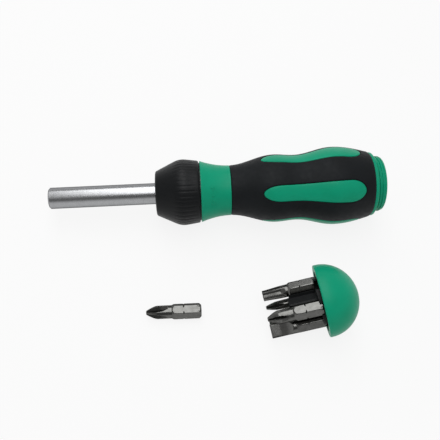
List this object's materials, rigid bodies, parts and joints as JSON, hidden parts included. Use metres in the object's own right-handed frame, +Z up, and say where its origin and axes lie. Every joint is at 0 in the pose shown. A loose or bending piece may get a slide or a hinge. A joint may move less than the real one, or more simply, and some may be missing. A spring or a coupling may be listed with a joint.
{
  "type": "ratcheting screwdriver",
  "caption": "Ratcheting screwdriver with a selector collar, a rubber grip and a hexagon bit socket, its domed end cap taken off to show the bit holder, and a loose bit beside it.",
  "frame": {"origin": "Middle of the bit socket's mouth, on the tool's axis.", "axes": "+X runs along the bench from the tip to the handle, +Z is up from the bench, and +Y points away from the loose cap and bit. The tool's own axis rises by about 2.4 degrees to the handle, because it lies on the collar and the rear bulge."},
  "size_m": [0.1581, 0.0912, 0.0372],
  "materials": {
    "green_plastic": "moulded, soft gloss",
    "grip_rubber": "matt moulded rubber",
    "black_plastic": "fine moulded texture",
    "satin_chrome": "satin chrome plate",
    "zinc_casting": "die cast",
    "machined_steel": "turned",
    "dark_steel": "blackened, hardened",
    "bit_steel": "bead blasted tool steel",
    "bronze": "sintered",
    "magnet": "nickel plate"
  },
  "bodies": {
    "handle": {"handle_core": "green_plastic", "grip_sleeve": "grip_rubber", "ratchet_housing": "zinc_casting", "nose_bush": "machined_steel", "flange_screws_set": "dark_steel", "pawl_pin": "machined_steel", "selector_clip": "dark_steel", "rear_bush": "bronze", "thrust_washer": "machined_steel"},
    "shaft": {"drive_shaft": "satin_chrome", "ratchet_gear": "dark_steel", "socket_magnet": "magnet", "shaft_clip": "dark_steel"},
    "selector": {"selector_collar": "black_plastic", "plunger_spring": "machined_steel"},
    "plunger": {"plunger": "machined_steel"},
    "rocker": {"rocker_pawl": "dark_steel"},
    "cap": {"end_cap": "green_plastic", "holder_screw": "machined_steel", "holder_washer": "machined_steel"},
    "holder": {"bit_holder": "black_plastic", "holder_magnet": "magnet"},
    "stored_cross_large": {"bit_cross_large": "bit_steel"},
    "stored_slotted": {"bit_slotted": "bit_steel"},
    "stored_hexagon": {"bit_hexagon": "bit_steel"},
    "stored_cross_small": {"bit_cross_small": "bit_steel"},
    "stored_star": {"bit_star": "bit_steel"},
    "loose_bit": {"loose_bit": "bit_steel"}
  },
  "joints": [
    {"name": "shaft_turn", "type": "hinge", "parent": "handle", "child": "shaft", "pos_m": [0, 0, 0], "axis": [0.9992, 0, 0.0411], "continuous": true},
    {"name": "selector_turn", "type": "hinge", "parent": "handle", "child": "selector", "pos_m": [0.05995, 0, 0.00246], "axis": [0.9992, 0, 0.0411], "range_deg": [-20, 20]},
    {"name": "rocker_tip", "type": "hinge", "parent": "handle", "child": "rocker", "pos_m": [0.06459, 0, 0.01129], "axis": [0.9992, 0, 0.0411], "range_deg": [-5.8, 5.8]},
    {"name": "plunger_press", "type": "slide", "parent": "selector", "child": "plunger", "axis": [-0.0411, 0, 0.9992], "range_m": [0, 0.0008], "stiffness_N_per_m": 300, "deforming": ["plunger_spring"]},
    {"name": "cap_apart", "type": "slide", "parent": "handle", "child": "cap", "axis": [0, -1, 0], "range_m": [0, 0.04]},
    {"name": "holder_swivel", "type": "hinge", "parent": "cap", "child": "holder", "pos_m": [0.1217, -0.0566, 0.00259], "axis": [0.9648, 0.1185, 0.2348], "continuous": true},
    {"name": "cross_large_pull", "type": "slide", "parent": "holder", "child": "stored_cross_large", "axis": [-0.9648, -0.1185, -0.2348], "range_m": [0, 0.02]},
    {"name": "slotted_pull", "type": "slide", "parent": "holder", "child": "stored_slotted", "axis": [-0.9648, -0.1185, -0.2348], "range_m": [0, 0.02]},
    {"name": "hexagon_pull", "type": "slide", "parent": "holder", "child": "stored_hexagon", "axis": [-0.9648, -0.1185, -0.2348], "range_m": [0, 0.02]},
    {"name": "cross_small_pull", "type": "slide", "parent": "holder", "child": "stored_cross_small", "axis": [-0.9648, -0.1185, -0.2348], "range_m": [0, 0.02]},
    {"name": "star_pull", "type": "slide", "parent": "holder", "child": "stored_star", "axis": [-0.9648, -0.1185, -0.2348], "range_m": [0, 0.02]},
    {"name": "loose_bit_apart", "type": "slide", "parent": "handle", "child": "loose_bit", "axis": [0, -1, 0], "range_m": [0, 0.03]}
  ],
  "couplings": [
    {"joint": "rocker_tip", "follows": "selector_turn", "ratio": 0.29}
  ]
}
